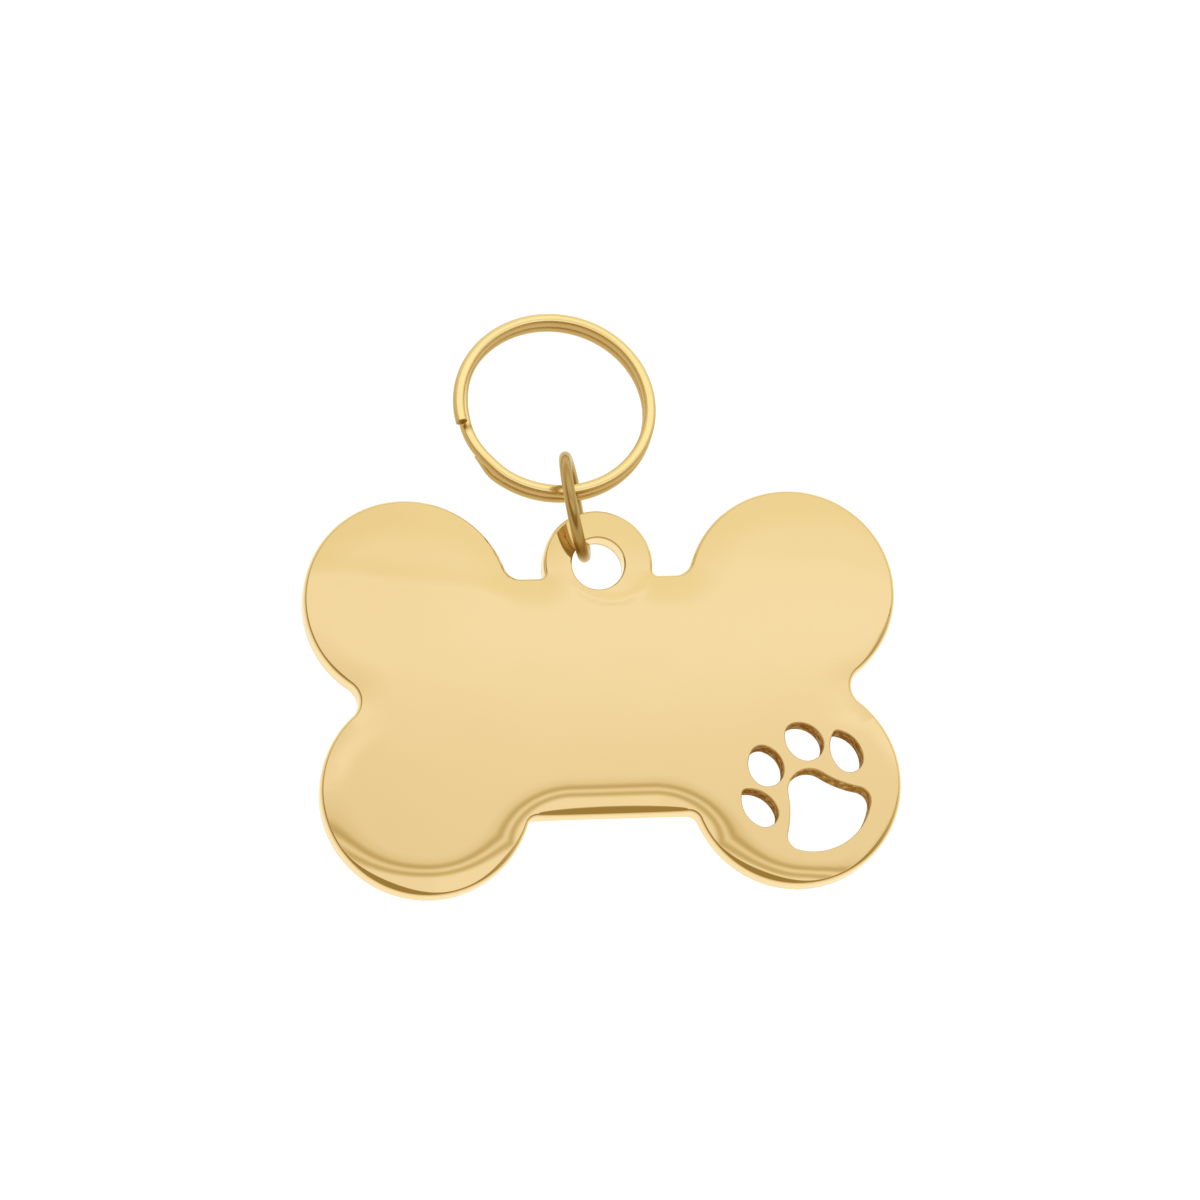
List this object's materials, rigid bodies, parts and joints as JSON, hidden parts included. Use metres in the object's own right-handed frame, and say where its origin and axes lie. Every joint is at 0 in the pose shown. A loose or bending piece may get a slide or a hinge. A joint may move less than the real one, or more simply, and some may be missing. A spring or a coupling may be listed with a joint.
{
  "type": "pet id tag",
  "caption": "Bone-shaped metal tag plate with a paw cut-out and a lug, hung on a small jump ring and a split ring for a collar.",
  "frame": {"origin": "back face of the plate, on its middle line at the waist between the upper and lower lobes", "axes": "+X along the bone towards the side with the paw, +Y towards the lug, +Z out of the front face"},
  "size_m": [0.04, 0.0409, 0.0082],
  "materials": {
    "plate_gold": "polished pale gold",
    "jump_gold": "polished darker gold",
    "split_gold": "polished pale gold"
  },
  "bodies": {
    "tag": {"tag_plate": "plate_gold"},
    "jump_link": {"jump_ring": "jump_gold"},
    "split_link": {"split_ring": "split_gold"}
  },
  "joints": [
    {"name": "jump_ring_swing", "type": "hinge", "parent": "tag", "child": "jump_link", "pos_m": [-0.00115, 0.012, 0.0011], "axis": [0.9687, 0.1087, 0.2232], "range_deg": [-60, 80]},
    {"name": "split_ring_swing", "type": "hinge", "parent": "jump_link", "child": "split_link", "pos_m": [-0.00107, 0.01439, 0.00043], "axis": [0.9687, 0.1087, 0.2232], "range_deg": [-55, 65]}
  ]
}
